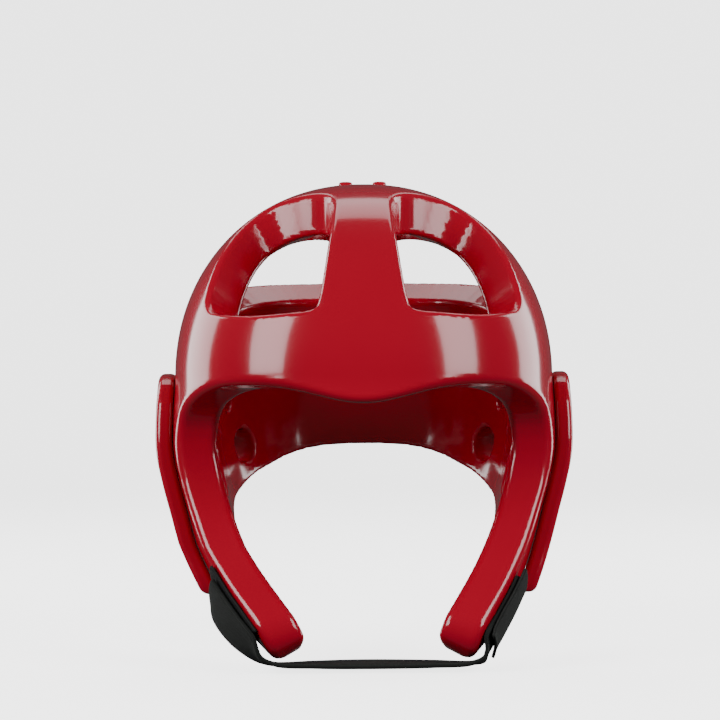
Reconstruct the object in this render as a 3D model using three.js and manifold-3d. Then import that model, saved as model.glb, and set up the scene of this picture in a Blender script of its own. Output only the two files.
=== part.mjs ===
import * as THREE from "three";
import { mergeVertices } from "three/addons/utils/BufferGeometryUtils.js";
import Module from "manifold-3d";

// Taekwondo headgear in dipped foam, adult medium, upright as worn.
// Millimetres. The face looks along -Y, +X is the wearer's left and +Z is up.
// The origin is on the inside of the crown, where the head carries it.
// In the names of pieces, left and right are as seen from the front.

const wasm = await Module();
wasm.setup();

// The padded body
const WALL = 21.5;
const HALF_WIDTH = 103;
const FRONT_REACH = 122;
const REAR_REACH = 113;
const CROWN_RISE = 106;
const MIDDLE_BACK = 5;
const SECTION_POWER = 2.45;
const CROWN_POWER = 2.08;
const JAW_DROP = 150;

// The brow's point over the nose
const BROW_DIP = 10;
const BROW_DIP_SPREAD = 33;

// The ends of the jaw arms
const ARM_END_INSIDE = 31;

// Holes for hearing and air
const EAR_HOLE_LENGTH = 34;
const EAR_HOLE_WIDTH = 24;
const EAR_HOLE_LEAN = 14;
const REAR_VENT_DIAMETER = 19;
const TEMPLE_VENT_DIAMETER = 9;

// Tabs on the crown
const TAB_WIDTH = 7.5;
const TAB_LENGTH = 26;
const TAB_RISE = 1.4;
const TAB_APART = 18.5;

// Ear pads
const PAD_THICKNESS = 9;

// Webbing and hook-and-loop
const STRAP_WIDTH = 27;
const STRAP_THICKNESS = 2.6;
const PATCH_WIDTH = 31;
const PATCH_THICKNESS = 1.8;
const COVER_WIDTH = 30;
const COVER_THICKNESS = 1.8;
const ARM_LEAN = 27;

// The gap that pieces keep where they touch
const GAP = 0.3;

// Fineness of the faceted faces
const SIDES = 52;
const HOLLOW_SIDES = 44;
const CROWN_RINGS = 10;
const JAW_RINGS = 11;
const CURVE_STEPS = 26;
const BROW_STEPS = 26;
const HOLE_SIDES = 18;
const STRAP_STEPS = 44;
const STRAP_LANES = 4;
const STEPS_PER_RING = 3;

// Steps of the working: the width over which a slope is read, the distance at which points
// are one, and how far short of the top the highest ring stops, as a share of a ring
const SLOPE_STEP = 0.05;
const SAME_POINT = 1e-4;
const TOP_RING_SHORT = 0.35;

// How far cutters run past what they cut, as a share of its size
const REACH_OUT = 1.5;
const BELOW_ARMS = 1.12;
const HOLE_DEPTH = 4 * WALL;

const TEMPLE_LEVEL = WALL - CROWN_RISE;

// Sections below the temples. Each row: drop as a share of JAW_DROP, then the half width, the
// front reach and the rear reach as shares of HALF_WIDTH, FRONT_REACH and REAR_REACH.
const JAW_SECTIONS = [
  [0, 1, 1, 1],
  [0.12, 1.011, 1.02, 1.002],
  [0.26, 1.01, 1.09, 1],
  [0.37, 0.977, 1.135, 0.985],
  [0.47, 0.938, 1.145, 0.965],
  [0.57, 0.9, 1.12, 0.94],
  [0.67, 0.857, 1.075, 0.9],
  [0.77, 0.803, 1.055, 0.85],
  [0.91, 0.7, 1.08, 0.78],
  [1.05, 0.57, 1.1, 0.68],
];

// Side view of the face opening's edge, from the brow down to the arm's end. Each row: forward
// of the widest section as a share of FRONT_REACH, drop as a share of JAW_DROP.
const FACE_EDGE = [
  [REACH_OUT, 0.024],
  [0.95, 0.026],
  [0.84, 0.029],
  [0.762, 0.035],
  [0.689, 0.05],
  [0.6, 0.077],
  [0.523, 0.109],
  [0.465, 0.153],
  [0.437, 0.207],
  [0.428, 0.273],
  [0.433, 0.353],
  [0.458, 0.44],
  [0.503, 0.527],
  [0.558, 0.62],
  [0.623, 0.707],
  [0.697, 0.793],
  [0.77, 0.88],
  [0.85, 0.975],
  [0.95, 1.1],
];

// Side view of the lower rim, from the arm's end round to the nape. Same columns.
const LOWER_RIM = [
  [0.62, 1.06],
  [0.49, 0.96],
  [0.3, 0.85],
  [0.12, 0.725],
  [-0.02, 0.61],
  [-0.14, 0.53],
  [-0.28, 0.464],
  [-0.433, 0.415],
  [-0.556, 0.368],
  [-0.65, 0.328],
  [-0.72, 0.286],
  [-0.78, 0.252],
  [-0.9, 0.222],
  [-REACH_OUT, 0.19],
];

// Outlines of the crown's openings, as directions from the middle of the temple level. Each
// row: degrees round from the front, degrees up.
const FRONT_OPENING = [
  [12.2, 16.6],
  [20, 15.4],
  [30, 15],
  [39, 15.9],
  [45, 17.2],
  [48.5, 20.5],
  [51, 28],
  [54.5, 37],
  [58.5, 45],
  [61, 51.5],
  [58.5, 56.5],
  [51, 60],
  [41, 61.8],
  [30, 62.4],
  [20.5, 60.6],
  [14.8, 56],
  [11.9, 48],
  [10.9, 38],
  [10.7, 28],
  [11.3, 19],
];
const REAR_OPENING = [
  [168, 31.5],
  [158, 30.2],
  [140, 29.2],
  [120, 27.2],
  [100, 25],
  [89, 24.6],
  [83, 27],
  [78.5, 34],
  [80, 43],
  [88, 52],
  [101, 58.5],
  [120, 62.5],
  [140, 64],
  [155, 62.5],
  [164, 56.5],
  [168.5, 46],
  [169.5, 37],
];

// What the walls of the openings draw in to: across as a share of HALF_WIDTH, then forward
// and drop
const FRONT_OPENING_AIM = [0.19, 0.35, -0.03];
const REAR_OPENING_AIM = [0.1, -0.1, 0];

// Side view of an ear pad. Each row: forward as a share of FRONT_REACH, drop as a share of
// JAW_DROP.
const PAD_OUTLINE = [
  [0.1, -0.012],
  [0.2, 0.02],
  [0.265, 0.09],
  [0.285, 0.2],
  [0.285, 0.34],
  [0.287, 0.48],
  [0.295, 0.62],
  [0.312, 0.73],
  [0.3, 0.77],
  [0.25, 0.772],
  [0.19, 0.735],
  [0.07, 0.64],
  [-0.09, 0.53],
  [-0.24, 0.44],
  [-0.355, 0.35],
  [-0.4, 0.25],
  [-0.385, 0.145],
  [-0.32, 0.06],
  [-0.2, 0.005],
  [-0.05, -0.018],
];

// Faces that end an arm: the end itself, its front bevel and its outer bevel. Each row: how far
// out of ARM_END_INSIDE a point of it lies as a share of HALF_WIDTH, its forward and drop, then
// how much the face leans inward and how much forward for one down.
const ARM_END_FACES = [
  [0, 0.795, 0.877, 0.57, 0.15],
  [0, 0.767, 0.83, 0.5, 0.93],
  [0.3, 0.582, 0.945, -0.9, 0],
];

// Centres of the holes, same columns
const EAR_HOLE = [-0.03, 0.35];
const REAR_VENT = [-0.6, 0.27];
const TEMPLE_VENT = [-0.42, 0.08];

// The webbing's way down an arm's outer face. Each row: forward, drop, then how far the
// chin strap's inner face lies off the foam on the patch side and on the cover side.
const WAY_DOWN_ARM = [
  [0.49, 0.73, 2.6, 0.3],
  [0.525, 0.785, 5.4, 0.3],
  [0.585, 0.86, 4.4, 0.3],
  [0.635, 0.925, 2.9, 0.8],
];

// The chin strap's way under the arms' ends. Each row: across as a share of HALF_WIDTH,
// forward, drop, degrees that the outer face turns out from straight down, degrees that the
// rear edge drops.
const WAY_UNDER_CHIN = [
  [0.637, 0.62, 0.984, 46, 12],
  [0.53, 0.605, 1.006, 14, 6],
  [0.34, 0.59, 1.011, 4, 2],
  [0, 0.585, 1.012, 0, 0],
];

// The cover strip over the sewn end of the chin strap. Each row: forward, drop, and how far
// its inner face stands off the chin strap.
const COVER_ON_ARM = [
  [0.475, 0.71, 0.3],
  [0.525, 0.785, 0.3],
  [0.58, 0.855, 0.4],
  [0.61, 0.9, 1.6],
  [0.632, 0.932, 4.6],
];

// The loop patch under the other end, from top to bottom
const PATCH_ON_ARM = [
  [0.47, 0.7],
  [0.525, 0.785],
  [0.58, 0.855],
  [0.625, 0.915],
];

const COLOURS = {
  foam: 0xb8142a,
  webbing: 0x262824,
  patch: 0x1a1b1a,
};

function degrees(angle) {
  return (angle * Math.PI) / 180;
}

function toMillimetres([forward, drop]) {
  return { y: MIDDLE_BACK - forward * FRONT_REACH, z: TEMPLE_LEVEL - drop * JAW_DROP };
}

// A smooth curve through one column of a table, level where the table starts
function readTable(table, column, at) {
  const last = table.length - 1;
  let row = 0;
  while (row < last - 1 && at > table[row + 1][0]) row += 1;
  const pitch = (i) => (table[i + 1][column] - table[i][column]) / (table[i + 1][0] - table[i][0]);
  const slope = (i) => {
    if (i === 0) return 0;
    return i === last ? pitch(last - 1) : (pitch(i - 1) + pitch(i)) / 2;
  };
  const span = table[row + 1][0] - table[row][0];
  const t = (at - table[row][0]) / span;
  if (t > 1) return table[last][column] + (t - 1) * span * slope(last);
  return (
    (2 * t ** 3 - 3 * t ** 2 + 1) * table[row][column] +
    (t ** 3 - 2 * t ** 2 + t) * span * slope(row) +
    (3 * t ** 2 - 2 * t ** 3) * table[row + 1][column] +
    (t ** 3 - t ** 2) * span * slope(row + 1)
  );
}

function sectionAt(z) {
  const drop = Math.max(TEMPLE_LEVEL - z, 0) / JAW_DROP;
  return {
    half: HALF_WIDTH * readTable(JAW_SECTIONS, 1, drop),
    front: FRONT_REACH * readTable(JAW_SECTIONS, 2, drop),
    rear: REAR_REACH * readTable(JAW_SECTIONS, 3, drop),
  };
}

// Below 0 inside the outer skin, 0 on it and above 0 outside
function skinValue(p) {
  const { half, front, rear } = sectionAt(p.z);
  const back = p.y - MIDDLE_BACK;
  const round =
    Math.abs(p.x / half) ** SECTION_POWER + Math.abs(back / (back < 0 ? front : rear)) ** SECTION_POWER;
  const up = Math.max(p.z - TEMPLE_LEVEL, 0) / CROWN_RISE;
  return (round ** (CROWN_POWER / SECTION_POWER) + up ** CROWN_POWER) ** (1 / CROWN_POWER) - 1;
}

function skinNormal(p) {
  const slope = ["x", "y", "z"].map((axis) => {
    const ahead = p.clone();
    const behind = p.clone();
    ahead[axis] += SLOPE_STEP;
    behind[axis] -= SLOPE_STEP;
    return skinValue(ahead) - skinValue(behind);
  });
  return new THREE.Vector3(...slope).normalize();
}

// A point of the outer skin, by its bearing from the front and its height, moved off it by lift
function skinPoint(bearing, z, lift) {
  const { half, front, rear } = sectionAt(z);
  const up = Math.max(z - TEMPLE_LEVEL, 0) / CROWN_RISE;
  const share = Math.max(1 - up ** CROWN_POWER, 0) ** (1 / CROWN_POWER);
  const across = Math.sin(bearing);
  const ahead = Math.cos(bearing);
  const reach = ahead > 0 ? front : rear;
  const radius =
    share /
    (Math.abs(across / half) ** SECTION_POWER + Math.abs(ahead / reach) ** SECTION_POWER) **
      (1 / SECTION_POWER);
  const point = new THREE.Vector3(radius * across, MIDDLE_BACK - radius * ahead, z);
  return point.addScaledVector(skinNormal(point), lift);
}

// The skin's point on one side of the head, straight across from a place in the side view
function sidePoint(side, [forward, drop], lift) {
  const { y, z } = toMillimetres([forward, drop]);
  const { half, front, rear } = sectionAt(z);
  const back = y - MIDDLE_BACK;
  const depth = Math.abs(back / (back < 0 ? front : rear)) ** SECTION_POWER;
  const point = new THREE.Vector3(side * half * (1 - depth) ** (1 / SECTION_POWER), y, z);
  return point.addScaledVector(skinNormal(point), lift);
}

// A closed mesh through rings of equal count, with both ends closed to their middle
function loft(rings) {
  const count = rings[0].length;
  const middle = (ring) => ring.reduce((sum, p) => sum.add(p), new THREE.Vector3()).divideScalar(count);
  const points = [...rings.flat(), middle(rings[0]), middle(rings.at(-1))];
  const faces = [];
  rings.slice(1).forEach((_, row) => {
    for (let i = 0; i < count; i += 1) {
      const a = row * count + i;
      const b = row * count + ((i + 1) % count);
      faces.push(a, b, b + count, a, b + count, a + count);
    }
  });
  const lastRow = (rings.length - 1) * count;
  for (let i = 0; i < count; i += 1) {
    const next = (i + 1) % count;
    faces.push(points.length - 2, next, i);
    faces.push(points.length - 1, lastRow + i, lastRow + next);
  }
  const geometry = new THREE.BufferGeometry().setFromPoints(points);
  return geometry.setIndex(faces);
}

function solid(geometry) {
  const bare = geometry.clone();
  bare.deleteAttribute("normal");
  bare.deleteAttribute("uv");
  const merged = mergeVertices(bare, SAME_POINT);
  const made = new wasm.Manifold(
    new wasm.Mesh({
      numProp: 3,
      vertProperties: merged.attributes.position.array,
      triVerts: new Uint32Array(merged.index.array),
    }),
  );
  if (made.volume() > 0) return made;
  const index = merged.index.array;
  for (let i = 0; i < index.length; i += 3) [index[i + 1], index[i + 2]] = [index[i + 2], index[i + 1]];
  return solid(merged);
}

function geometryOf(made) {
  const mesh = made.getMesh();
  const geometry = new THREE.BufferGeometry();
  geometry.setAttribute("position", new THREE.BufferAttribute(new Float32Array(mesh.vertProperties), 3));
  geometry.setIndex(new THREE.BufferAttribute(new Uint32Array(mesh.triVerts), 1));
  geometry.computeVertexNormals();
  return geometry;
}

// The whole form moved off the outer skin by lift, closed below the arms
function skinSolid(lift, sides) {
  const heights = [];
  const lowest = JAW_DROP * JAW_SECTIONS.at(-1)[0] * BELOW_ARMS;
  for (let i = 0; i <= JAW_RINGS; i += 1) {
    heights.push(TEMPLE_LEVEL - lowest * (1 - i / JAW_RINGS));
  }
  for (let i = 1; i <= CROWN_RINGS; i += 1) {
    const rise = Math.sin((Math.PI / 2) * (i / (CROWN_RINGS + TOP_RING_SHORT)));
    heights.push(TEMPLE_LEVEL + CROWN_RISE * rise ** (2 / CROWN_POWER));
  }
  const ring = (z) => {
    const points = [];
    for (let i = 0; i < sides; i += 1) points.push(skinPoint((2 * Math.PI * i) / sides, z, lift));
    return points;
  };
  const rings = heights.map(ring);
  const geometry = loft(rings);
  const top = geometry.attributes.position.count - 1;
  geometry.attributes.position.setXYZ(top, 0, MIDDLE_BACK, TEMPLE_LEVEL + CROWN_RISE + lift);
  return solid(geometry);
}

// A prism through the whole head, from an outline in the side view
function sidePrism(outline, steps = 1, from = -HALF_WIDTH * REACH_OUT, to = HALF_WIDTH * REACH_OUT) {
  const shape = new THREE.Shape(outline.map(({ y, z }) => new THREE.Vector2(y, z)));
  const geometry = new THREE.ExtrudeGeometry(shape, { depth: to - from, steps, bevelEnabled: false });
  return geometry.applyMatrix4(
    new THREE.Matrix4().set(0, 0, 1, from, 1, 0, 0, 0, 0, 1, 0, 0, 0, 0, 0, 1),
  );
}

function smooth(table, steps, closed) {
  const points = table.map(toMillimetres).map(({ y, z }) => new THREE.Vector3(0, y, z));
  return new THREE.CatmullRomCurve3(points, closed, "centripetal").getPoints(steps);
}

function faceCutter() {
  const edge = smooth(FACE_EDGE, CURVE_STEPS, false);
  const floor = TEMPLE_LEVEL - JAW_DROP * REACH_OUT;
  const front = MIDDLE_BACK - FRONT_REACH * REACH_OUT;
  const geometry = sidePrism([...edge, { y: front, z: floor }], BROW_STEPS);
  const place = geometry.attributes.position;
  for (let i = 0; i < place.count; i += 1) {
    const dip = BROW_DIP * Math.exp(-((place.getX(i) / BROW_DIP_SPREAD) ** 2));
    place.setZ(i, place.getZ(i) - dip);
  }
  return solid(geometry);
}

function rimCutter() {
  const edge = smooth(LOWER_RIM, CURVE_STEPS, false);
  const floor = TEMPLE_LEVEL - JAW_DROP * REACH_OUT;
  return solid(sidePrism([...edge, { y: edge.at(-1).y, z: floor }, { y: edge[0].y, z: floor }]));
}

// A block beyond one of the faces that end an arm, on that arm's own side
function armEndCutter(side, [out, forward, drop, lean, slope]) {
  const normal = new THREE.Vector3(-side * lean, -slope, -1).normalize();
  const outward = new THREE.Vector3(side, 0, -lean).normalize();
  const { y, z } = toMillimetres([forward, drop]);
  const size = HALF_WIDTH;
  const box = new THREE.BoxGeometry(size, size, size);
  box.applyQuaternion(new THREE.Quaternion().setFromUnitVectors(new THREE.Vector3(0, 0, -1), normal));
  const middle = new THREE.Vector3(side * (ARM_END_INSIDE + out * HALF_WIDTH), y, z)
    .addScaledVector(normal, size / 2)
    .addScaledVector(outward, size / 3);
  box.translate(middle.x, middle.y, middle.z);
  return solid(box);
}

// A cutter whose outline lies on the skin and narrows towards an aim inside the head
function openingCutter(table, [across, forward, drop], side) {
  const middle = new THREE.Vector3(0, MIDDLE_BACK, TEMPLE_LEVEL);
  const inside = toMillimetres([forward, drop]);
  const aim = new THREE.Vector3(side * across * HALF_WIDTH, inside.y, inside.z);
  const directions = table.map(([round, up]) => {
    const level = Math.cos(degrees(up));
    const out = side * level * Math.sin(degrees(round));
    return new THREE.Vector3(out, -level * Math.cos(degrees(round)), Math.sin(degrees(up)));
  });
  const outline = new THREE.CatmullRomCurve3(directions, true, "centripetal").getPoints(2 * CURVE_STEPS);
  outline.pop();
  const skinPoints = outline.map((d) => {
    const reach = 1 / (skinValue(d.clone().add(middle)) + 1);
    return d.clone().multiplyScalar(reach).add(middle);
  });
  const ring = (share) => skinPoints.map((p) => p.clone().sub(aim).multiplyScalar(share).add(aim));
  const inmost = 1 / REACH_OUT ** 2;
  return solid(loft([ring(inmost), ring(REACH_OUT)]));
}

// A hole square to the skin, long and wide, leaning back at its top by lean degrees
function holeCutter(side, place, long, wide, lean) {
  const at = sidePoint(side, place, 0);
  const tube = new THREE.CylinderGeometry(0.5, 0.5, HOLE_DEPTH, HOLE_SIDES);
  tube.scale(wide, 1, long);
  tube.rotateY(side * degrees(lean));
  const out = skinNormal(at);
  const up = new THREE.Vector3(0, 0, 1).addScaledVector(out, -out.z).normalize();
  const across = new THREE.Vector3().crossVectors(out, up);
  const turn = new THREE.Matrix4().makeBasis(across, out, up);
  tube.applyMatrix4(turn);
  tube.translate(at.x, at.y, at.z);
  return solid(tube);
}

// The outer skin's height straight above a place to one side of the crown's middle
function skinCrownAt(across) {
  const share = across / HALF_WIDTH;
  return TEMPLE_LEVEL + CROWN_RISE * (1 - share ** CROWN_POWER) ** (1 / CROWN_POWER);
}

function crownTab(side) {
  const height = WALL / 2 + TAB_RISE;
  const box = new THREE.BoxGeometry(TAB_WIDTH, TAB_LENGTH, height);
  const top = skinCrownAt(TAB_APART / 2) + TAB_RISE;
  box.translate((side * TAB_APART) / 2, MIDDLE_BACK, top - height / 2);
  return solid(box);
}

const SIDE_NAMES = [
  ["left", -1],
  ["right", 1],
];

const skin = skinSolid(0, SIDES);

function makeShell() {
  let shell = skin.subtract(skinSolid(-WALL, HOLLOW_SIDES)).subtract(faceCutter()).subtract(rimCutter());
  SIDE_NAMES.forEach(([, side]) => {
    [
      ...ARM_END_FACES.map((face) => armEndCutter(side, face)),
      openingCutter(FRONT_OPENING, FRONT_OPENING_AIM, side),
      openingCutter(REAR_OPENING, REAR_OPENING_AIM, side),
      holeCutter(side, EAR_HOLE, EAR_HOLE_LENGTH, EAR_HOLE_WIDTH, EAR_HOLE_LEAN),
      holeCutter(side, REAR_VENT, REAR_VENT_DIAMETER, REAR_VENT_DIAMETER, 0),
      holeCutter(side, TEMPLE_VENT, TEMPLE_VENT_DIAMETER, TEMPLE_VENT_DIAMETER, 0),
    ].forEach((cutter) => {
      shell = shell.subtract(cutter);
    });
    shell = shell.add(crownTab(side));
  });
  return shell;
}

// A slab that follows the outer skin between two lifts, inside an outline in the side view
function skinSlab(side, outline, low, high) {
  const prism = solid(sidePrism(outline, 1, 0, side * HALF_WIDTH * REACH_OUT));
  return prism.intersect(skinSolid(high, SIDES)).subtract(skinSolid(low, SIDES));
}

function makeEarPad(side) {
  const outline = smooth(PAD_OUTLINE, 2 * CURVE_STEPS, true).slice(1);
  const hole = holeCutter(side, EAR_HOLE, EAR_HOLE_LENGTH, EAR_HOLE_WIDTH, EAR_HOLE_LEAN);
  return skinSlab(side, outline, GAP, GAP + PAD_THICKNESS).subtract(hole);
}

// Rings between key rings, smooth along every lane
function smoothRings(keyRings, steps) {
  const lanes = keyRings[0].map((_, i) => new THREE.CatmullRomCurve3(keyRings.map((ring) => ring[i])));
  const rings = [];
  for (let i = 0; i <= steps; i += 1) rings.push(lanes.map((lane) => lane.getPoint(i / steps)));
  return rings;
}

// A webbing's section: its lanes along the inner face, then back along the outer face
function section(width, thickness, place) {
  const lanes = [];
  for (let i = 0; i <= STRAP_LANES; i += 1) lanes.push((i / STRAP_LANES - 0.5) * width);
  return [...lanes.map((at) => place(at, 0)), ...lanes.reverse().map((at) => place(at, thickness))];
}

function armSection(side, [forward, drop], width, thickness, lift) {
  const back = Math.cos(degrees(ARM_LEAN)) / FRONT_REACH;
  const down = Math.sin(degrees(ARM_LEAN)) / JAW_DROP;
  return section(width, thickness, (at, out) =>
    sidePoint(side, [forward - at * back, drop + at * down], lift + out),
  );
}

function crossingSection(side, [across, forward, drop, turn, slope]) {
  const { y, z } = toMillimetres([forward, drop]);
  const middle = new THREE.Vector3(side * across * HALF_WIDTH, y, z);
  const outer = new THREE.Vector3(side * Math.sin(degrees(turn)), 0, -Math.cos(degrees(turn)));
  const back = new THREE.Vector3(0, Math.cos(degrees(slope)), -Math.sin(degrees(slope)));
  return section(STRAP_WIDTH, STRAP_THICKNESS, (at, out) =>
    middle.clone().addScaledVector(back, at).addScaledVector(outer, out - STRAP_THICKNESS / 2),
  );
}

const PATCH_SIDE = -1;
const COVER_SIDE = 1;

function makeChinStrap() {
  const onArm = (side, liftColumn) =>
    WAY_DOWN_ARM.map((row) => armSection(side, row, STRAP_WIDTH, STRAP_THICKNESS, row[liftColumn]));
  const under = (side) => WAY_UNDER_CHIN.map((row) => crossingSection(side, row));
  const oneHalf = [...onArm(PATCH_SIDE, 2), ...under(PATCH_SIDE)];
  const otherHalf = [...onArm(COVER_SIDE, 3), ...under(COVER_SIDE).slice(0, -1)].reverse();
  return solid(loft(smoothRings([...oneHalf, ...otherHalf], STRAP_STEPS)));
}

function makeCover() {
  const off = WAY_DOWN_ARM[0][3] + STRAP_THICKNESS;
  const rings = COVER_ON_ARM.map((row) =>
    armSection(COVER_SIDE, row, COVER_WIDTH, COVER_THICKNESS, off + row[2]),
  );
  return solid(loft(smoothRings(rings, STEPS_PER_RING * rings.length)));
}

function makePatch() {
  const rings = PATCH_ON_ARM.map((row) => armSection(PATCH_SIDE, row, PATCH_WIDTH, PATCH_THICKNESS, GAP));
  return solid(loft(smoothRings(rings, STEPS_PER_RING * rings.length)));
}

const group = new THREE.Group();

function addPiece(name, made, material) {
  const mesh = new THREE.Mesh(geometryOf(made), material);
  mesh.name = name;
  group.add(mesh);
}

const foam = new THREE.MeshStandardMaterial({ color: COLOURS.foam, roughness: 0.16, metalness: 0 });
addPiece("head_shell", makeShell(), foam);
SIDE_NAMES.forEach(([name, side]) => addPiece(`ear_pad_${name}`, makeEarPad(side), foam));

const webbing = new THREE.MeshStandardMaterial({ color: COLOURS.webbing, roughness: 0.85, metalness: 0 });
const loops = new THREE.MeshStandardMaterial({ color: COLOURS.patch, roughness: 0.95, metalness: 0 });
addPiece("chin_strap", makeChinStrap(), webbing);
addPiece("strap_cover", makeCover(), webbing);
addPiece("arm_patch", makePatch(), loops);

export default group;
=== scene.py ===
import math

import bpy
import numpy as np
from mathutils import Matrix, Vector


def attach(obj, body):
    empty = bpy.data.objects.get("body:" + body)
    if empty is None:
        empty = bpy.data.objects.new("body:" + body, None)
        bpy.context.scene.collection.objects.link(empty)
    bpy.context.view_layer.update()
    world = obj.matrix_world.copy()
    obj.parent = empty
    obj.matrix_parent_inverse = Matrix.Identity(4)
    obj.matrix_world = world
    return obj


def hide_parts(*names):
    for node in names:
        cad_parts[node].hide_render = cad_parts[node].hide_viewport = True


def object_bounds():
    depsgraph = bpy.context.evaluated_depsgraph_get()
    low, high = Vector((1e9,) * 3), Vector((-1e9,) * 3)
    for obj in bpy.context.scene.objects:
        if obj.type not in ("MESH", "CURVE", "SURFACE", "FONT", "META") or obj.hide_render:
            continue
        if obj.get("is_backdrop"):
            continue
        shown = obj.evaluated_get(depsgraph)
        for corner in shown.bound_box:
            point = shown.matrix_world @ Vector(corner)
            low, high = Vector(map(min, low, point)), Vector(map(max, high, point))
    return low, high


# Taekwondo headgear in dipped foam. Fields and tables are in millimetres in the model's frame,
# the face looking along -Y and +Z up. Meshes are written out in metres.
# A field is below 0 inside a form, 0 on its face and above 0 outside.

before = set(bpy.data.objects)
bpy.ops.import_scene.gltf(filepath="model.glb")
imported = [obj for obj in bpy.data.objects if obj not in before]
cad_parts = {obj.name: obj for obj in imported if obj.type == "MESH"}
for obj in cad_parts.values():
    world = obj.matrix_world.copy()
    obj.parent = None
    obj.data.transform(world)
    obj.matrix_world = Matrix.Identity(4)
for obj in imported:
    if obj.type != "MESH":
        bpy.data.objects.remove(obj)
cad_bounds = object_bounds()

MM = 0.001

# The padded body
WALL = 21.5
HALF_WIDTH = 103
FRONT_REACH = 122
REAR_REACH = 113
CROWN_RISE = 106
MIDDLE_BACK = 5
SECTION_POWER = 2.45
CROWN_POWER = 2.08
JAW_DROP = 150
TEMPLE_LEVEL = WALL - CROWN_RISE
BROW_DIP = 10
BROW_DIP_SPREAD = 33
ARM_END_INSIDE = 31

# Holes
EAR_HOLE_LENGTH = 34
EAR_HOLE_WIDTH = 24
EAR_HOLE_LEAN = 14
REAR_VENT_DIAMETER = 19
TEMPLE_VENT_DIAMETER = 9

# Pads, tabs, webbing
GAP = 0.3
PAD_THICKNESS = 9
TAB_WIDTH = 7.5
TAB_LENGTH = 26
TAB_RISE = 1.4
TAB_APART = 18.5
TAB_ROUND = 1.6
STRAP_WIDTH = 27
STRAP_THICKNESS = 2.6
PATCH_WIDTH = 31
PATCH_THICKNESS = 1.8
COVER_WIDTH = 30
COVER_THICKNESS = 1.8
ARM_LEAN = 27

# How round the foam's edges are
EDGE_ROUND = 4.2
OPENING_ROUND = 3
ARM_END_ROUND = 12
VENT_ROUND = 1.8
PAD_ROUND = 3

# The grids: the size of their cells, the space left round each form, how far they reach forward
# and out as shares of FRONT_REACH and HALF_WIDTH, where the pads' grid starts across, and how many
# walls deep under the skin the shell's field is worked out
SHELL_STEP = 2.05
PAD_STEP = 1.35
MARGIN = 6
GRID_FORWARD = 1.18
GRID_OUT = 1.02
PADS_START = 60.0
WALL_BAND = 1.9

# Steps from one point of an outline to the next, round a tab's corner and along the webbing, then
# across the webbing and round its edge
OUTLINE_STEPS = 4
CORNER_STEPS = 4
WEBBING_STEPS = 22
WEBBING_LANES = 12
EDGE_STEPS = 5

# How closely points are brought to a face: rounds of each search, how far to each side a slope is
# read, the least slope divided by, the share of the way that a point moves to be evened out, and
# the least lengths divided by
ROUGH_ROUNDS = 2
PAD_ROUNDS = 3
CLOSE_ROUNDS = 4
SETTLE_ROUNDS = 3
SLOPE_STEP = 0.02
FACE_SLOPE_STEP = 0.05
LEAST_SLOPE = 0.2
EVENING = 0.5
LEAST_LENGTH = 1e-6
LEAST_ANGLE = 1e-9

# Each row: drop as a share of JAW_DROP, then half width, front reach and rear reach as shares
JAW_SECTIONS = [
    [0, 1, 1, 1],
    [0.12, 1.011, 1.02, 1.002],
    [0.26, 1.01, 1.09, 1],
    [0.37, 0.977, 1.135, 0.985],
    [0.47, 0.938, 1.145, 0.965],
    [0.57, 0.9, 1.12, 0.94],
    [0.67, 0.857, 1.075, 0.9],
    [0.77, 0.803, 1.055, 0.85],
    [0.91, 0.7, 1.08, 0.78],
    [1.05, 0.57, 1.1, 0.68],
]

# Side views. Each row: forward of the widest section as a share of FRONT_REACH, drop as a
# share of JAW_DROP.
FACE_EDGE = [
    [1.5, 0.024], [0.95, 0.026], [0.84, 0.029], [0.762, 0.035], [0.689, 0.05], [0.6, 0.077],
    [0.523, 0.109], [0.465, 0.153], [0.437, 0.207], [0.428, 0.273], [0.433, 0.353],
    [0.458, 0.44], [0.503, 0.527], [0.558, 0.62], [0.623, 0.707], [0.697, 0.793],
    [0.77, 0.88], [0.85, 0.975], [0.95, 1.1],
]
LOWER_RIM = [
    [0.62, 1.06], [0.49, 0.96], [0.3, 0.85], [0.12, 0.725], [-0.02, 0.61], [-0.14, 0.53],
    [-0.28, 0.464], [-0.433, 0.415], [-0.556, 0.368], [-0.65, 0.328], [-0.72, 0.286],
    [-0.78, 0.252], [-0.9, 0.222], [-1.5, 0.19],
]
PAD_OUTLINE = [
    [0.1, -0.012], [0.2, 0.02], [0.265, 0.09], [0.285, 0.2], [0.285, 0.34], [0.287, 0.48],
    [0.295, 0.62], [0.312, 0.73], [0.3, 0.77], [0.25, 0.772], [0.19, 0.735], [0.07, 0.64],
    [-0.09, 0.53], [-0.24, 0.44], [-0.355, 0.35], [-0.4, 0.25], [-0.385, 0.145],
    [-0.32, 0.06], [-0.2, 0.005], [-0.05, -0.018],
]

# Crown openings as directions from the middle of the temple level: degrees round, degrees up
FRONT_OPENING = [
    [12.2, 16.6], [20, 15.4], [30, 15], [39, 15.9], [45, 17.2], [48.5, 20.5], [51, 28],
    [54.5, 37], [58.5, 45], [61, 51.5], [58.5, 56.5], [51, 60], [41, 61.8], [30, 62.4],
    [20.5, 60.6], [14.8, 56], [11.9, 48], [10.9, 38], [10.7, 28], [11.3, 19],
]
REAR_OPENING = [
    [168, 31.5], [158, 30.2], [140, 29.2], [120, 27.2], [100, 25], [89, 24.6], [83, 27],
    [78.5, 34], [80, 43], [88, 52], [101, 58.5], [120, 62.5], [140, 64], [155, 62.5],
    [164, 56.5], [168.5, 46], [169.5, 37],
]
FRONT_OPENING_AIM = [0.19, 0.35, -0.03]
REAR_OPENING_AIM = [0.1, -0.1, 0]

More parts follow.
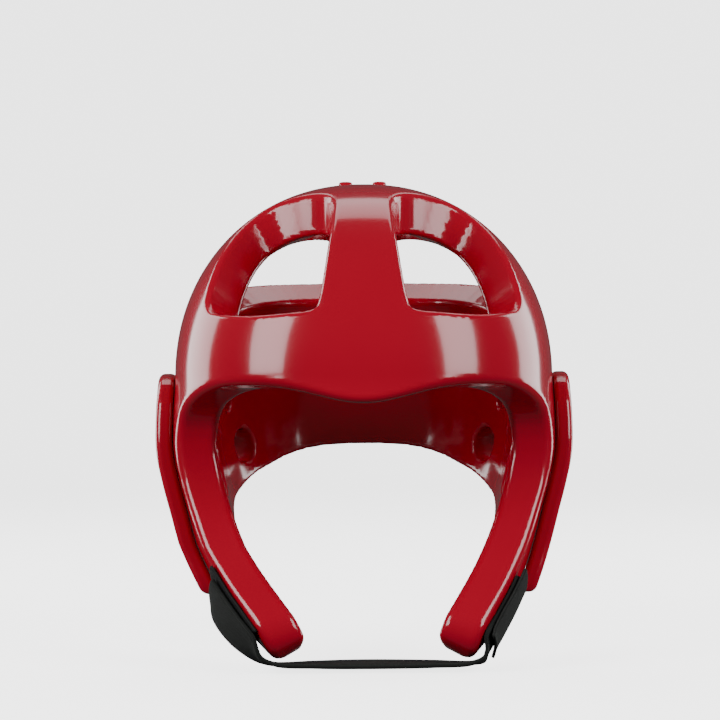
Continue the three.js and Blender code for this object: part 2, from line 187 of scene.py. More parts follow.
# How far out of ARM_END_INSIDE a point of the face lies, its forward and drop, then how much
# the face leans inward and forward for one down
ARM_END_FACES = [
    [0, 0.795, 0.877, 0.57, 0.15],
    [0, 0.767, 0.83, 0.5, 0.93],
    [0.3, 0.582, 0.945, -0.9, 0],
]

EAR_HOLE = [-0.03, 0.35]
REAR_VENT = [-0.6, 0.27]
TEMPLE_VENT = [-0.42, 0.08]

# Crown tabs. Each row: how far under the top, then how far in from the tab's sides
TAB_PROFILE = [
    [5, 0],
    [TAB_ROUND, 0],
    [0.9, 0.15],
    [0.35, 0.55],
    [0, 1.5],
]

# Webbing. Each row: forward, drop, then lifts off the foam on the patch side and cover side,
# and how much farther off the strap's rear edge lies than its front edge on the patch side
WAY_DOWN_ARM = [
    [0.49, 0.735, 4.2, 0.3, 3],
    [0.525, 0.785, 6.2, 0.3, 7.4],
    [0.585, 0.86, 5.9, 0.3, 6.8],
    [0.635, 0.925, 3.6, 0.5, 2.4],
]
# Each row: across as a share of HALF_WIDTH, forward, drop, degrees turned out, degrees of fall
WAY_UNDER_CHIN = [
    [0.6, 0.62, 0.982, 40, 12],
    [0.53, 0.605, 0.999, 14, 6],
    [0.34, 0.59, 1.002, 4, 2],
    [0, 0.585, 1.002, 0, 0],
]
# Each row: forward, drop, lift off the strap
COVER_ON_ARM = [
    [0.475, 0.71, 0.3],
    [0.525, 0.785, 0.3],
    [0.58, 0.855, 0.3],
    [0.61, 0.9, 0.5],
    [0.626, 0.925, 1.7],
]
# Each row: forward, drop
PATCH_ON_ARM = [
    [0.47, 0.7],
    [0.525, 0.785],
    [0.58, 0.855],
    [0.625, 0.915],
]
PATCH_SIDE = -1
COVER_SIDE = 1

# The patch side's arm is bent inward a little: how far, the height where it starts, the drop to
# a whole bend, the most of it that is reached, and the distance from the middle where it is whole
ARM_BEND = 6.4
BEND_TOP = -174
BEND_SPAN = 46
BEND_MOST = 1.3
BEND_FADE = 34


# The form as fields

def read_column(column, at):
    """A smooth curve through one column of JAW_SECTIONS, level where the table starts."""
    table = np.array(JAW_SECTIONS, float)
    x, y = table[:, 0], table[:, column]
    pitch = np.diff(y) / np.diff(x)
    slope = np.concatenate([[0], (pitch[:-1] + pitch[1:]) / 2, [pitch[-1]]])
    i = np.clip(np.searchsorted(x, at, side="right") - 1, 0, len(x) - 2)
    span = x[i + 1] - x[i]
    t = (at - x[i]) / span
    curve = (
        (2 * t**3 - 3 * t**2 + 1) * y[i]
        + (t**3 - 2 * t**2 + t) * span * slope[i]
        + (3 * t**2 - 2 * t**3) * y[i + 1]
        + (t**3 - t**2) * span * slope[i + 1]
    )
    return np.where(t > 1, y[-1] + (t - 1) * span * slope[-1], curve)


def section_at(z):
    drop = np.maximum(TEMPLE_LEVEL - z, 0) / JAW_DROP
    return (
        HALF_WIDTH * read_column(1, drop),
        FRONT_REACH * read_column(2, drop),
        REAR_REACH * read_column(3, drop),
    )


def skin_value(p):
    half, front, rear = section_at(p[..., 2])
    back = p[..., 1] - MIDDLE_BACK
    reach = np.where(back < 0, front, rear)
    ring = np.abs(p[..., 0] / half) ** SECTION_POWER + np.abs(back / reach) ** SECTION_POWER
    up = np.maximum(p[..., 2] - TEMPLE_LEVEL, 0) / CROWN_RISE
    return (ring ** (CROWN_POWER / SECTION_POWER) + up**CROWN_POWER) ** (1 / CROWN_POWER) - 1


def gradient(field, p, step=SLOPE_STEP):
    slopes = []
    for axis in range(3):
        ahead = np.zeros(3)
        ahead[axis] = step
        slopes.append((field(p + ahead) - field(p - ahead)) / (2 * step))
    return np.stack(slopes, -1)


def length(v):
    return np.sqrt((v * v).sum(-1))


def unit(v):
    return v / length(v)[..., None]


def depth(p, rounds):
    """Distance off the outer skin, along the line to its nearest point."""
    nearest = p.copy()
    for _ in range(rounds):
        slope = gradient(skin_value, nearest)
        size = length(slope)
        normal = slope / size[..., None]
        nearest = nearest - normal * (skin_value(nearest) / size)[..., None]
        away = ((p - nearest) * normal).sum(-1)
        nearest = p - normal * away[..., None]
    return away


def in_side_view(row):
    return np.array([MIDDLE_BACK - row[0] * FRONT_REACH, TEMPLE_LEVEL - row[1] * JAW_DROP])


def side_point(side, row, lift=0.0):
    """The skin's point straight across from a place in the side view, and its normal."""
    y, z = in_side_view(row)
    half, front, rear = section_at(np.array(z))
    back = y - MIDDLE_BACK
    reach = front if back < 0 else rear
    out = half * (1 - abs(back / reach) ** SECTION_POWER) ** (1 / SECTION_POWER)
    point = np.array([side * float(out), y, z])
    normal = unit(gradient(skin_value, point))
    return point + normal * lift, normal


def spline(points, per_span, closed=False):
    """A smooth curve through points, its speed following the root of their distance."""
    p = np.asarray(points, float)
    count = len(p)
    spans = count if closed else count - 1
    made = []
    for i in range(spans):
        if closed:
            a, b, c, d = (p[(i + k) % count] for k in (-1, 0, 1, 2))
        else:
            b, c = p[i], p[i + 1]
            a = p[i - 1] if i > 0 else 2 * b - c
            d = p[i + 2] if i + 2 < count else 2 * c - b
        t1 = max(np.linalg.norm(b - a), LEAST_LENGTH) ** 0.5
        t2 = max(np.linalg.norm(c - b), LEAST_LENGTH) ** 0.5
        t3 = max(np.linalg.norm(d - c), LEAST_LENGTH) ** 0.5
        m1 = ((b - a) / t1 - (c - a) / (t1 + t2) + (c - b) / t2) * t2
        m2 = ((c - b) / t2 - (d - b) / (t2 + t3) + (d - c) / t3) * t2
        for k in range(per_span):
            t = k / per_span
            made.append(
                (2 * t**3 - 3 * t**2 + 1) * b + (t**3 - 2 * t**2 + t) * m1
                + (3 * t**2 - 2 * t**3) * c + (t**3 - t**2) * m2
            )
    if not closed:
        made.append(p[-1])
    return np.array(made)


def outline_field(polygon, p):
    """Distance in the plane to a closed outline, below 0 inside it."""
    nearest = np.full(p.shape[:-1], np.inf)
    inside = np.zeros(p.shape[:-1], bool)
    x, y = p[..., 0], p[..., 1]
    for (ax, ay), (bx, by) in zip(polygon, np.roll(polygon, -1, 0)):
        ex, ey = bx - ax, by - ay
        along = np.clip(((x - ax) * ex + (y - ay) * ey) / (ex * ex + ey * ey), 0, 1)
        nearest = np.minimum(nearest, (x - ax - along * ex) ** 2 + (y - ay - along * ey) ** 2)
        crosses = (ay > y) != (by > y)
        inside ^= crosses & (x < ex * (y - ay) / (ey if ey else 1) + ax)
    return np.where(inside, -1, 1) * np.sqrt(nearest)


def meet(a, b, radius):
    """Where two forms overlap, with the edge between their faces rounded."""
    corner = np.sqrt(np.maximum(a + radius, 0) ** 2 + np.maximum(b + radius, 0) ** 2)
    return np.minimum(np.maximum(a, b), -radius) + corner


# Cutters, all drawn on the +X side

# The side view's outlines are closed this many reaches and drops away, well past the form
WELL_PAST = 1.5
LOW = TEMPLE_LEVEL - WELL_PAST * JAW_DROP
AHEAD = MIDDLE_BACK - WELL_PAST * FRONT_REACH
face_edge = spline([in_side_view(row) for row in FACE_EDGE], OUTLINE_STEPS)
face_outline = np.vstack([face_edge, [[AHEAD, LOW]]])
rim_edge = spline([in_side_view(row) for row in LOWER_RIM], OUTLINE_STEPS)
rim_outline = np.vstack([rim_edge, [[rim_edge[-1][0], LOW], [rim_edge[0][0], LOW]]])
pad_outline = spline([in_side_view(row) for row in PAD_OUTLINE], OUTLINE_STEPS, closed=True)


def face_field(p):
    dip = BROW_DIP * np.exp(-((p[..., 0] / BROW_DIP_SPREAD) ** 2))
    return outline_field(face_outline, np.stack([p[..., 1], p[..., 2] + dip], -1))


def rim_field(p):
    return outline_field(rim_outline, p[..., 1:])


def arm_end_field(row, p):
    out, forward, drop, lean, slope = row
    normal = unit(np.array([-lean, -slope, -1.0]))
    y, z = in_side_view((forward, drop))
    return (p - np.array([ARM_END_INSIDE + out * HALF_WIDTH, y, z])) @ normal


def on_map(directions, axis, across, up):
    """Directions as places on a flat map: their angle off the axis, and which way."""
    ahead = np.clip(directions @ axis, -1, 1)
    angle = np.arccos(ahead)
    a, b = directions @ across, directions @ up
    size = np.maximum(np.sqrt(a * a + b * b), LEAST_ANGLE)
    return np.stack([angle * a / size, angle * b / size], -1)


class Opening:
    """A hole whose outline lies on the skin and narrows towards an aim inside the head."""

    def __init__(self, table, aim):
        y, z = in_side_view(aim[1:])
        self.aim = np.array([aim[0] * HALF_WIDTH, y, z])
        middle = np.array([0, MIDDLE_BACK, TEMPLE_LEVEL])
        angles = np.radians(np.array(table, float))
        level = np.cos(angles[:, 1])
        ways = np.stack(
            [level * np.sin(angles[:, 0]), -level * np.cos(angles[:, 0]), np.sin(angles[:, 1])], -1
        )
        ways = spline(ways, OUTLINE_STEPS, closed=True)
        reach = 1 / (skin_value(ways + middle) + 1)
        ways = unit(ways * reach[:, None] + middle - self.aim)
        self.axis = unit(ways.mean(0))
        self.across = unit(np.cross(self.axis, [0, 0, 1]))
        self.up = np.cross(self.across, self.axis)
        self.outline = on_map(ways, self.axis, self.across, self.up)

    def field(self, p):
        away = p - self.aim
        size = length(away)
        place = on_map(away / size[..., None], self.axis, self.across, self.up)
        return outline_field(self.outline, place) * size


class Hole:
    """A hole square to the skin, leaning back at its top by lean degrees."""

    def __init__(self, row, long, wide, lean):
        self.at, self.out = side_point(1, row)
        up = unit(np.array([0, 0, 1]) - self.out * self.out[2])
        across = np.cross(self.out, up)
        turn = math.radians(lean)
        self.up = up * math.cos(turn) + across * math.sin(turn)
        self.across = across * math.cos(turn) - up * math.sin(turn)
        self.long, self.wide = long / 2, wide / 2

    def field(self, p):
        away = p - self.at
        a, b = away @ self.across / self.wide, away @ self.up / self.long
        size = np.maximum(np.sqrt(a * a + b * b), LEAST_LENGTH)
        slope = np.maximum(np.sqrt((a / self.wide) ** 2 + (b / self.long) ** 2), LEAST_LENGTH)
        return size * (size - 1) / slope


front_opening = Opening(FRONT_OPENING, FRONT_OPENING_AIM)
rear_opening = Opening(REAR_OPENING, REAR_OPENING_AIM)
ear_hole = Hole(EAR_HOLE, EAR_HOLE_LENGTH, EAR_HOLE_WIDTH, EAR_HOLE_LEAN)
rear_vent = Hole(REAR_VENT, REAR_VENT_DIAMETER, REAR_VENT_DIAMETER, 0)
temple_vent = Hole(TEMPLE_VENT, TEMPLE_VENT_DIAMETER, TEMPLE_VENT_DIAMETER, 0)


def mirrored(p):
    return np.concatenate([np.abs(p[..., :1]), p[..., 1:]], -1)


def shell_field(p, rounds=CLOSE_ROUNDS):
    q = mirrored(p)
    off = depth(q, rounds)
    form = np.abs(off + WALL / 2) - WALL / 2
    end, bevel, outer_bevel = (arm_end_field(row, q) for row in ARM_END_FACES)
    cut = meet(-face_field(q), bevel, ARM_END_ROUND)
    cut = meet(cut, end, EDGE_ROUND)
    cut = meet(cut, outer_bevel, EDGE_ROUND)
    cut = meet(cut, -rim_field(q), EDGE_ROUND)
    form = meet(form, cut, EDGE_ROUND)
    form = meet(form, -front_opening.field(q), OPENING_ROUND)
    form = meet(form, -rear_opening.field(q), OPENING_ROUND)
    form = meet(form, -ear_hole.field(q), EDGE_ROUND)
    form = meet(form, -rear_vent.field(q), VENT_ROUND)
    return meet(form, -temple_vent.field(q), VENT_ROUND)


def pad_field(p, rounds=CLOSE_ROUNDS):
    q = mirrored(p)
    off = depth(q, rounds)
    middle = GAP + PAD_THICKNESS / 2
    form = np.abs(off - middle) - PAD_THICKNESS / 2
    form = meet(form, outline_field(pad_outline, q[..., 1:]), PAD_ROUND)
    return meet(form, -ear_hole.field(q), PAD_ROUND)


# Fields to meshes

def sampled(field, low, high, step, near):
    """The field on a grid, worked out only where it can matter, on the +X side alone."""
    counts = np.ceil((high - low) / step).astype(int) + 1
    axes = [low[k] + step * np.arange(counts[k]) for k in range(3)]
    grid = np.stack(np.meshgrid(*axes, indexing="ij"), -1)
    values = np.full(counts, float(MARGIN))
    rough = skin_value(grid) / np.maximum(length(gradient(skin_value, grid)), LEAST_LENGTH)
    want = near(rough)
    values[want] = field(grid[want])
    return axes, values


def surface(axes, values):
    """Quads between the grid cells that the face passes through."""
    counts = values.shape
    inside = values < 0
    cells = tuple(n - 1 for n in counts)
    total = np.zeros(cells + (3,))
    hits = np.zeros(cells)
    corner = [(i, j, k) for i in (0, 1) for j in (0, 1) for k in (0, 1)]

    def part(array, c):
        return array[c[0]:c[0] + cells[0], c[1]:c[1] + cells[1], c[2]:c[2] + cells[2]]

    for a in corner:
        for axis in range(3):
            if a[axis]:
                continue
            b = tuple(v + (k == axis) for k, v in enumerate(a))
            va, vb = part(values, a), part(values, b)
            crossed = part(inside, a) != part(inside, b)
            share = np.where(crossed, va / np.where(crossed, va - vb, 1), 0)
            for k in range(3):
                total[..., k] += np.where(crossed, a[k] + (share if k == axis else 0), 0)
            hits += crossed
    used = hits > 0
    index = np.full(cells, -1)
    index[used] = np.arange(used.sum())
    place = total[used] / hits[used][:, None] + np.argwhere(used)
    low = np.array([axis[0] for axis in axes])
    step = axes[0][1] - axes[0][0]
    points = low + place * step
    quads = []
    for axis in range(3):
        u, v = (axis + 1) % 3, (axis + 2) % 3
        ahead = [slice(None)] * 3
        ahead[axis] = slice(1, None)
        here = [slice(None)] * 3
        here[axis] = slice(None, -1)
        edge = inside[tuple(here)] != inside[tuple(ahead)]
        at = np.argwhere(edge)
        at = at[(at[:, u] > 0) & (at[:, v] > 0)]
        flip = inside[at[:, 0], at[:, 1], at[:, 2]]
        ring = []
        for du, dv in ((0, 0), (-1, 0), (-1, -1), (0, -1)):
            c = at.copy()
            c[:, u] += du
            c[:, v] += dv
            ring.append(index[c[:, 0], c[:, 1], c[:, 2]])
        ring = np.stack(ring, -1)
        ring[~flip] = ring[~flip][:, ::-1]
        quads.append(ring)
    return points, np.concatenate(quads)


def settled(field, points, quads, rounds):
    """Vertices evened out along the face and set down on it."""
    sides = ([0, 1], [1, 2], [2, 3], [3, 0])
    ends = np.concatenate([quads[:, side] for side in sides])
    for turn in range(rounds):
        slope = gradient(field, points, FACE_SLOPE_STEP)
        size = np.maximum(length(slope), LEAST_SLOPE)
        normal = slope / size[:, None]
        points = points - normal * (field(points) / size)[:, None]
        if turn + 1 < rounds:
            total = np.zeros_like(points)
            for k in range(3):
                total[:, k] = np.bincount(ends[:, 0], points[ends[:, 1], k], len(points))
            count = np.bincount(ends[:, 0], minlength=len(points))
            move = total / np.maximum(count, 1)[:, None] - points
            move -= normal * (move * normal).sum(-1)[:, None]
            points = points + EVENING * move
    return points, unit(gradient(field, points, FACE_SLOPE_STEP))


def bent(points, normals=None):
    """Points with the patch side's arm bent inward, and their normals turned with it."""
    points = np.array(points, float)
    share = np.clip((BEND_TOP - points[:, 2]) / BEND_SPAN, 0, BEND_MOST)
    fade = np.clip(-points[:, 0] / BEND_FADE, 0, 1)
    points[:, 0] += ARM_BEND * share * fade
    if normals is None:
        return points
    slope = np.where((share > 0) & (share < BEND_MOST), -ARM_BEND / BEND_SPAN, 0) * fade
    normals = np.array(normals, float)
    normals[:, 2] -= slope * normals[:, 0]
    return points, unit(normals)


def add_object(name, points, faces, material, normals=None, coordinates=None):
    mesh = bpy.data.meshes.new(name)
    mesh.from_pydata((np.asarray(points) * MM).tolist(), [], [list(map(int, f)) for f in faces])
    mesh.polygons.foreach_set("use_smooth", [True] * len(mesh.polygons))
    if normals is not None:
        mesh.normals_split_custom_set_from_vertices(normals.tolist())
    if coordinates is not None:
        layer = mesh.uv_layers.new(name="along")
        place = np.array([coordinates[i] for polygon in mesh.polygons for i in polygon.vertices])
        layer.data.foreach_set("uv", place.ravel())
    mesh.update()
    piece = bpy.data.objects.new(name, mesh)
    bpy.context.scene.collection.objects.link(piece)
    mesh.materials.append(material)
    return piece


def two_sided(axes, values):
    """The grid with its mirror image added; its first plane is the middle plane."""
    across = np.concatenate([-axes[0][:0:-1], axes[0]])
    return [across, axes[1], axes[2]], np.concatenate([values[:0:-1], values], 0)


# Materials

def nodes_of(name):
    material = bpy.data.materials.new(name)
    material.use_nodes = True
    tree = material.node_tree
    return material, tree, tree.nodes["Principled BSDF"]


def add_node(tree, kind, **values):
    node = tree.nodes.new(kind)
    for key, value in values.items():
        if key in node.inputs:
            node.inputs[key].default_value = value
        else:
            setattr(node, key, value)
    return node


def foam_material():
    material, tree, shader = nodes_of("foam_skin")
    place = add_node(tree, "ShaderNodeTexCoord").outputs["Object"]
    cloud = add_node(tree, "ShaderNodeTexNoise", Scale=14.0, Detail=3.0)
    tree.links.new(place, cloud.inputs["Vector"])
    shade = add_node(tree, "ShaderNodeValToRGB")
    shade.color_ramp.elements[0].color = (0.4, 0.002, 0.017, 1)
    shade.color_ramp.elements[1].color = (0.46, 0.004, 0.023, 1)
    tree.links.new(cloud.outputs["Fac"], shade.inputs["Fac"])
    tree.links.new(shade.outputs["Color"], shader.inputs["Base Color"])
    swell = add_node(tree, "ShaderNodeTexNoise", Scale=38.0, Detail=1.0)
    tree.links.new(place, swell.inputs["Vector"])
    fine = add_node(tree, "ShaderNodeTexNoise", Scale=900.0, Detail=2.0)
    tree.links.new(place, fine.inputs["Vector"])
    wide_bump = add_node(tree, "ShaderNodeBump", Strength=0.25, Distance=0.0008)
    tree.links.new(swell.outputs["Fac"], wide_bump.inputs["Height"])
    bump = add_node(tree, "ShaderNodeBump", Strength=0.12, Distance=0.0001)
    tree.links.new(fine.outputs["Fac"], bump.inputs["Height"])
    tree.links.new(wide_bump.outputs["Normal"], bump.inputs["Normal"])
    tree.links.new(bump.outputs["Normal"], shader.inputs["Normal"])
    shader.inputs["Roughness"].default_value = 0.15
    shader.inputs["IOR"].default_value = 1.5
    shader.inputs["Coat Weight"].default_value = 0.3
    shader.inputs["Coat Roughness"].default_value = 0.06
    return material


# How much closer the weft lies than the ribs, then the weft's share of the weave and the pile's
# share of the whole height
WEFT_PITCH = 1.4
WEFT_SHARE = 0.35
PILE_SHARE = 0.4


def webbing_material(name, dark, light, rib, pile):
    """Woven ribs along the strap, drawn in millimetres across and along it."""
    material, tree, shader = nodes_of(name)
    place = add_node(tree, "ShaderNodeUVMap", uv_map="along").outputs["UV"]
    wave = add_node(
        tree, "ShaderNodeTexWave", wave_type="BANDS", bands_direction="X", Scale=rib, Distortion=0.6
    )
    tree.links.new(place, wave.inputs["Vector"])
    weft = add_node(
        tree, "ShaderNodeTexWave", wave_type="BANDS", bands_direction="Y", Scale=rib * WEFT_PITCH,
        Distortion=0.4,
    )
    tree.links.new(place, weft.inputs["Vector"])
    fuzz = add_node(tree, "ShaderNodeTexNoise", Scale=pile, Detail=4.0)
    tree.links.new(place, fuzz.inputs["Vector"])
    woven = add_node(tree, "ShaderNodeMix", data_type="FLOAT")
    woven.inputs[0].default_value = WEFT_SHARE
    tree.links.new(wave.outputs["Fac"], woven.inputs[2])
    tree.links.new(weft.outputs["Fac"], woven.inputs[3])
    height = add_node(tree, "ShaderNodeMix", data_type="FLOAT")
    height.inputs[0].default_value = PILE_SHARE
    tree.links.new(woven.outputs[0], height.inputs[2])
    tree.links.new(fuzz.outputs["Fac"], height.inputs[3])
    shade = add_node(tree, "ShaderNodeValToRGB")
    shade.color_ramp.elements[0].position = 0.25
    shade.color_ramp.elements[0].color = (*dark, 1)
    shade.color_ramp.elements[1].position = 0.75
    shade.color_ramp.elements[1].color = (*light, 1)
    tree.links.new(height.outputs[0], shade.inputs["Fac"])
    tree.links.new(shade.outputs["Color"], shader.inputs["Base Color"])
    bump = add_node(tree, "ShaderNodeBump", Strength=0.6, Distance=0.0004)
    tree.links.new(height.outputs[0], bump.inputs["Height"])
    tree.links.new(bump.outputs["Normal"], shader.inputs["Normal"])
    shader.inputs["Roughness"].default_value = 0.85
    shader.inputs["Specular IOR Level"].default_value = 0.15
    return material


foam = foam_material()
webbing = webbing_material("webbing", (0.011, 0.012, 0.011), (0.03, 0.032, 0.03), 0.28, 2.0)
hook_loop = webbing_material("hook_loop", (0.008, 0.008, 0.008), (0.022, 0.022, 0.022), 0.5, 3.0)


# Foam pieces

shell_low = np.array([
    0.0,
    MIDDLE_BACK - GRID_FORWARD * FRONT_REACH - MARGIN,
    TEMPLE_LEVEL - JAW_DROP - MARGIN,
])
shell_high = np.array([
    HALF_WIDTH * GRID_OUT + MARGIN,
    MIDDLE_BACK + REAR_REACH + MARGIN,
    WALL + MARGIN,
])
axes, values = sampled(
    lambda p: shell_field(p, ROUGH_ROUNDS), shell_low, shell_high, SHELL_STEP,
    lambda rough: (rough < MARGIN) & (rough > -WALL_BAND * WALL),
)
points, quads = surface(*two_sided(axes, values))
points, normals = settled(shell_field, points, quads, SETTLE_ROUNDS)
points, normals = bent(points, normals)
shell = add_object("foam_shell", points, quads, foam, normals)
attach(shell, "root")
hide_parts("head_shell")

pad_least, pad_most = pad_outline.min(0), pad_outline.max(0)
pad_low = np.array([PADS_START, pad_least[0] - MARGIN, pad_least[1] - MARGIN])
pad_high = np.array([
    HALF_WIDTH * GRID_OUT + PAD_THICKNESS + MARGIN,
    pad_most[0] + MARGIN,
    pad_most[1] + MARGIN,
])
axes, values = sampled(
    lambda p: pad_field(p, PAD_ROUNDS), pad_low, pad_high, PAD_STEP,
    lambda rough: (rough < PAD_THICKNESS + MARGIN) & (rough > -MARGIN),
)
points, quads = surface(axes, values)
points, normals = settled(pad_field, points, quads, SETTLE_ROUNDS)
for name, side in (("left", -1), ("right", 1)):
    mirror = np.array([side, 1, 1])
    pad_points, pad_normals = bent(points * mirror, normals * mirror)
    pad_quads = quads if side > 0 else quads[:, ::-1]
    pad = add_object(f"foam_ear_pad_{name}", pad_points, pad_quads, foam, pad_normals)
    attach(pad, "root")
    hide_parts(f"ear_pad_{name}")


def rounded_rectangle(width, height, radius):
    """Places round a rectangle with rounded corners, starting at its lower right one."""
    made = []
    for cx, cy, start in ((1, -1, -90), (1, 1, 0), (-1, 1, 90), (-1, -1, 180)):
        for k in range(CORNER_STEPS + 1):
            angle = math.radians(start + 90 * k / CORNER_STEPS)
            made.append((
                cx * (width / 2 - radius) + radius * math.cos(angle),
                cy * (height / 2 - radius) + radius * math.sin(angle),
            ))
    return made


def tube_faces(rings, count):
    faces = []
    for row in range(rings - 1):
        for i in range(count):
            a, b = row * count + i, row * count + (i + 1) % count
            faces.append([a, b, b + count, a + count])
    faces.append(list(range(count))[::-1])
    faces.append([(rings - 1) * count + i for i in range(count)])
    return faces


for name, side in (("left", -1), ("right", 1)):
    share = TAB_APART / 2 / HALF_WIDTH
    top = TEMPLE_LEVEL + CROWN_RISE * (1 - share**CROWN_POWER) ** (1 / CROWN_POWER) + TAB_RISE
    rings = []
    for under_top, inset in TAB_PROFILE:
        outline = rounded_rectangle(TAB_WIDTH - 2 * inset, TAB_LENGTH - 2 * inset, TAB_ROUND)
        z = top - under_top
        rings.append([[side * TAB_APART / 2 + x, MIDDLE_BACK + y, z] for x, y in outline])
    faces = tube_faces(len(rings), len(rings[0]))
    tab = add_object(f"crown_tab_{name}", np.concatenate(rings), faces, foam)
    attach(tab, "root")


# Webbing

def arm_place(side, row, lift, tilt=0):
    """A place on the webbing's middle line down an arm, read with how far across and out."""
    back = math.cos(math.radians(ARM_LEAN)) / FRONT_REACH
    down = math.sin(math.radians(ARM_LEAN)) / JAW_DROP

    def place(at, out):
        off = lift + out + tilt * at / STRAP_WIDTH
        return side_point(side, (row[0] - at * back, row[1] + at * down), off)[0]

    return place


def crossing_place(side, row, thickness):
    across, forward, drop, turn, slope = row
    y, z = in_side_view((forward, drop))
    middle = np.array([side * across * HALF_WIDTH, y, z])
    turn, slope = math.radians(turn), math.radians(slope)
    outer = np.array([side * math.sin(turn), 0, -math.cos(turn)])
    back = np.array([0, math.cos(slope), -math.sin(slope)])

    def place(at, out):
        return middle + back * at + outer * (out - thickness / 2)

    return place


def webbing_piece(name, node, places, width, thickness, material):
    """A flat band through places, with rounded edges and flat ends."""
    edge = thickness / 2
    flat = width - 2 * edge
    middle = width / 2 - edge
    angles = [math.pi * k / EDGE_STEPS for k in range(1, EDGE_STEPS)]
    outline = [((k / WEBBING_LANES - 0.5) * flat, 0) for k in range(WEBBING_LANES + 1)]
    outline += [(middle + edge * math.sin(a), edge - edge * math.cos(a)) for a in angles]
    outline += [((0.5 - k / WEBBING_LANES) * flat, thickness) for k in range(WEBBING_LANES + 1)]
    outline += [(-middle - edge * math.sin(a), edge + edge * math.cos(a)) for a in angles]
    lines = [spline([place(at, out) for place in places], WEBBING_STEPS) for at, out in outline]
    rings = np.stack(lines, 1)
    run = np.concatenate([[0], np.cumsum(length(np.diff(rings.mean(1), axis=0)))])
    coordinates = [(at, along) for along in run for at, _ in outline]
    faces = tube_faces(len(rings), len(outline))
    piece = add_object(name, bent(rings.reshape(-1, 3)), faces, material, None, coordinates)
    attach(piece, "root")
    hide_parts(node)
    return piece, run[-1]


def on_arm(side, column, tilted):
    return [arm_place(side, row, row[column], tilted * row[4]) for row in WAY_DOWN_ARM]


def under(side):
    return [crossing_place(side, row, STRAP_THICKNESS) for row in WAY_UNDER_CHIN]


strap_places = on_arm(PATCH_SIDE, 2, 1) + under(PATCH_SIDE)
strap_places += (on_arm(COVER_SIDE, 3, 0) + under(COVER_SIDE)[:-1])[::-1]
strap, strap_run = webbing_piece(
    "woven_chin_strap", "chin_strap", strap_places,
    STRAP_WIDTH, STRAP_THICKNESS, webbing,
)
cover_off = WAY_DOWN_ARM[0][3] + STRAP_THICKNESS
cover, cover_run = webbing_piece(
    "woven_strap_cover", "strap_cover",
    [arm_place(COVER_SIDE, row, cover_off + row[2]) for row in COVER_ON_ARM],
    COVER_WIDTH, COVER_THICKNESS, webbing,
)
patch, patch_run = webbing_piece(
    "loop_patch", "arm_patch", [arm_place(PATCH_SIDE, row, GAP) for row in PATCH_ON_ARM],
    PATCH_WIDTH, PATCH_THICKNESS, hook_loop,
)


# Floor, light and camera

# The floor is a round sweep in metres: a disc, then a quarter turn up to a wall
FLOOR_RADIUS = 2.6
SWEEP_RADIUS = 1.2
WALL_HEIGHT = 5
SWEEP_STEPS = 12
FLOOR_SIDES = 64
FLOOR_GLOW = 3
floor_level = cad_bounds[0][2]
rows = [(FLOOR_RADIUS, 0)]
for k in range(1, SWEEP_STEPS + 1):
    angle = math.pi / 2 * k / SWEEP_STEPS
    out = FLOOR_RADIUS + SWEEP_RADIUS * math.sin(angle)
    rows.append((out, SWEEP_RADIUS * (1 - math.cos(angle))))
rows.append((FLOOR_RADIUS + SWEEP_RADIUS, WALL_HEIGHT))
turns = [2 * math.pi * i / FLOOR_SIDES for i in range(FLOOR_SIDES)]
floor_points = [
    (r * math.cos(turn), r * math.sin(turn), floor_level + z) for r, z in rows for turn in turns
]
floor_faces = [list(range(FLOOR_SIDES))]
for row in range(len(rows) - 1):
    for i in range(FLOOR_SIDES):
        a, b = row * FLOOR_SIDES + i, row * FLOOR_SIDES + (i + 1) % FLOOR_SIDES
        floor_faces.append([a, a + FLOOR_SIDES, b + FLOOR_SIDES, b])
floor_mesh = bpy.data.meshes.new("floor")
floor_mesh.from_pydata(floor_points, [], floor_faces)
floor_mesh.polygons.foreach_set("use_smooth", [True] * len(floor_mesh.polygons))
floor = bpy.data.objects.new("floor", floor_mesh)
bpy.context.scene.collection.objects.link(floor)
floor_material, floor_tree, floor_shader = nodes_of("pale_floor")
grain = add_node(floor_tree, "ShaderNodeTexNoise", Scale=60.0, Detail=2.0)
pale = add_node(floor_tree, "ShaderNodeValToRGB")
pale.color_ramp.elements[0].color = (0.86, 0.86, 0.86, 1)
pale.color_ramp.elements[1].color = (0.9, 0.9, 0.9, 1)
floor_tree.links.new(grain.outputs["Fac"], pale.inputs["Fac"])
floor_tree.links.new(pale.outputs["Color"], floor_shader.inputs["Base Color"])
floor_shader.inputs["Roughness"].default_value = 0.9
floor_shader.inputs["Emission Color"].default_value = (1, 1, 1, 1)
floor_shader.inputs["Emission Strength"].default_value = FLOOR_GLOW
floor_shader.inputs["Specular IOR Level"].default_value = 0.1
floor_mesh.materials.append(floor_material)
floor.visible_diffuse = False
floor.visible_glossy = False
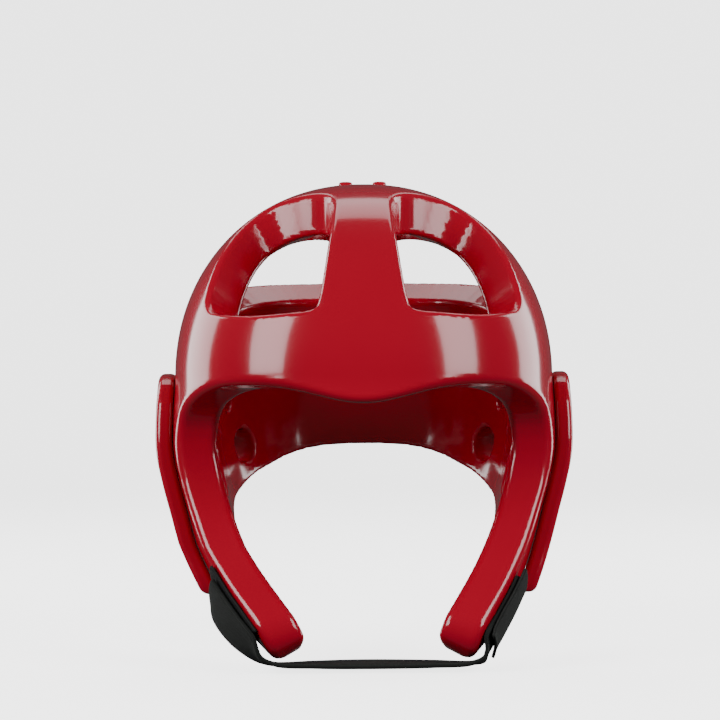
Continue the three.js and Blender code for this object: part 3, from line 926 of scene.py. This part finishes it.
floor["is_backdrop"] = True


def add_light(name, place, at, size, power):
    data = bpy.data.lights.new(name, "AREA")
    data.shape = "RECTANGLE"
    data.size, data.size_y = size
    data.energy = power
    light = bpy.data.objects.new(name, data)
    bpy.context.scene.collection.objects.link(light)
    away = np.array(place, float) - np.array(at, float)
    light.location = place
    light.rotation_euler = (
        math.atan2(math.hypot(away[0], away[1]), away[2]), 0, math.atan2(away[0], -away[1])
    )


# Each light: its name, its place and its aim in metres, its width and height, its power in watts
HEAD = (0, 0, -0.1)
add_light("key_left", (-1.36, -1.14, 0.56), HEAD, (0.9, 1.25), 30)
add_light("key_right", (1.36, -1.14, 0.52), HEAD, (0.85, 1.25), 25)
add_light("side_left", (-1.35, 0.78, 0.3), HEAD, (0.9, 1.4), 19)
add_light("side_right", (1.35, 0.78, 0.3), HEAD, (0.8, 1.4), 17)
add_light("top", (0, 0.85, 1.35), HEAD, (1.5, 0.7), 7)

WORLD_STRENGTH = 0.08
world = bpy.data.worlds.new("studio")
bpy.context.scene.world = world
world.use_nodes = True
sky = world.node_tree.nodes["Background"]
sky.inputs["Color"].default_value = (1, 1, 1, 1)
sky.inputs["Strength"].default_value = WORLD_STRENGTH

# The camera is level. The horizon's row and the middle's column are in pixels of the image.
IMAGE = 720
HORIZON_ROW = 402
MIDDLE_COLUMN = 363
CAMERA_ROLL = 0.4
CAMERA_AT = (-0.0005, -1.3, -0.098)
SENSOR_WIDTH = 36
LENS = 118.2
FARTHEST = 30
camera_data = bpy.data.cameras.new("camera")
camera_data.sensor_width = SENSOR_WIDTH
camera_data.lens = LENS
camera_data.shift_y = (HORIZON_ROW - IMAGE / 2) / IMAGE
camera_data.shift_x = (IMAGE / 2 - MIDDLE_COLUMN) / IMAGE
camera_data.clip_end = FARTHEST
camera = bpy.data.objects.new("camera", camera_data)
bpy.context.scene.collection.objects.link(camera)
camera.location = CAMERA_AT
camera.rotation_euler = (math.radians(90), math.radians(CAMERA_ROLL), 0)
bpy.context.scene.camera = camera

both = {"cad": cad_bounds, "visual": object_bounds()}
{k: [[float(x) for x in corner] for corner in v] for k, v in both.items()}
